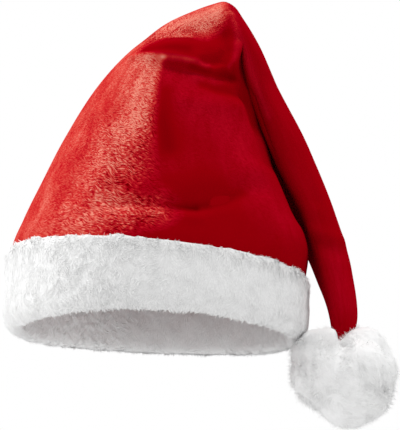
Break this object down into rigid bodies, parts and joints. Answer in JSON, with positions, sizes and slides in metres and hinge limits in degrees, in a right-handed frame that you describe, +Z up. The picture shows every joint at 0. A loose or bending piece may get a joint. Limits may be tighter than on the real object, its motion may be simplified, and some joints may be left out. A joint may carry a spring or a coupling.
{
  "type": "santa hat",
  "caption": "Red plush santa hat with a wide white fur band, its long hollow point folded over and hanging down one side to a white fur pompom.",
  "frame": {"origin": "middle of the head opening, level with the band's lower edge, where the hat sits on a head", "axes": "+Z up to the fold; +X towards the side where the tail and pompom hang; +Y from the front to the back"},
  "size_m": [0.259, 0.2182, 0.2871],
  "materials": {
    "red_plush": "short-pile red plush with a soft sheen where it faces the light",
    "white_fur_band": "short dense white fur pile, slightly tufted",
    "white_fur_pompom": "longer fluffy white fur"
  },
  "bodies": {
    "root": {"crown": "red_plush", "band": "white_fur_band", "pompom": "white_fur_pompom"}
  },
  "joints": []
}
